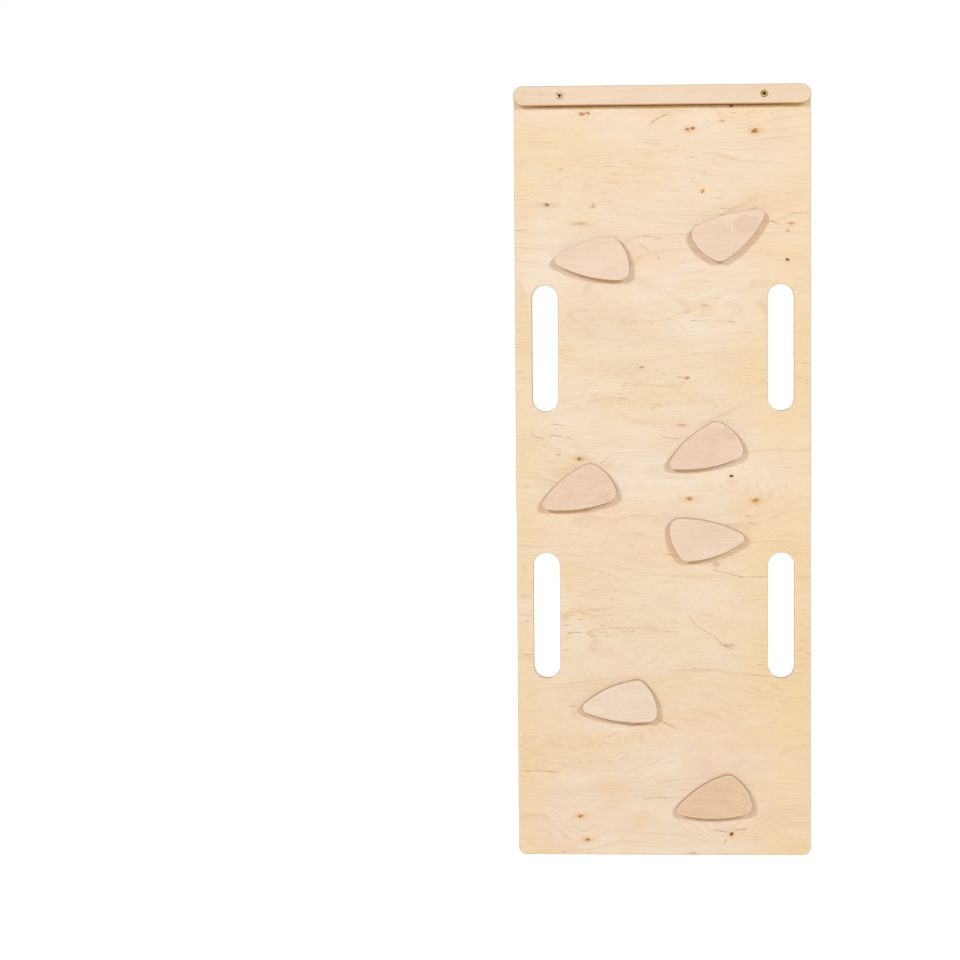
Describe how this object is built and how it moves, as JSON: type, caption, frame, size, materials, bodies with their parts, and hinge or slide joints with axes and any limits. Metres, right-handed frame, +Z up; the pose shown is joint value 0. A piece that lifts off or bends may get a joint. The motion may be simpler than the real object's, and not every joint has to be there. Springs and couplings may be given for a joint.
{
  "type": "climbing board",
  "caption": "Reversible wooden board for a child's climbing triangle: climbing holds on one face, plain slide on the other, hand slots at the sides and a hook-on cleat at the top.",
  "frame": {"origin": "middle of the lower edge, halfway through the board's thickness, level with the lower edge", "axes": "+Z up the board's length, +X across it, -Y out of the climbing face and +Y out of the slide face"},
  "size_m": [0.42, 0.054, 1.1],
  "materials": {
    "board_plywood": "clear satin varnish on birch plywood",
    "cleat_plywood": "clear satin varnish on birch plywood",
    "hold_plywood": "clear satin varnish on birch plywood",
    "dowel_beech": "plain turned beech, glued in",
    "screw_zinc": "yellow zinc plated steel"
  },
  "bodies": {
    "root": {"board": "board_plywood", "cleat_climbing_side": "cleat_plywood", "cleat_slide_side": "cleat_plywood", "hold_1": "hold_plywood", "hold_2": "hold_plywood", "hold_3": "hold_plywood", "hold_4": "hold_plywood", "hold_5": "hold_plywood", "hold_6": "hold_plywood", "hold_7": "hold_plywood", "hold_1_dowel_tip": "dowel_beech", "hold_1_dowel_heel": "dowel_beech", "hold_2_dowel_tip": "dowel_beech", "hold_2_dowel_heel": "dowel_beech", "hold_3_dowel_tip": "dowel_beech", "hold_3_dowel_heel": "dowel_beech", "hold_4_dowel_tip": "dowel_beech", "hold_4_dowel_heel": "dowel_beech", "hold_5_dowel_tip": "dowel_beech", "hold_5_dowel_heel": "dowel_beech", "hold_6_dowel_tip": "dowel_beech", "hold_6_dowel_heel": "dowel_beech", "hold_7_dowel_tip": "dowel_beech", "hold_7_dowel_heel": "dowel_beech", "cleat_screw_climbing_side_left": "screw_zinc", "cleat_screw_climbing_side_right": "screw_zinc", "cleat_screw_slide_side_left": "screw_zinc", "cleat_screw_slide_side_right": "screw_zinc"}
  },
  "joints": []
}
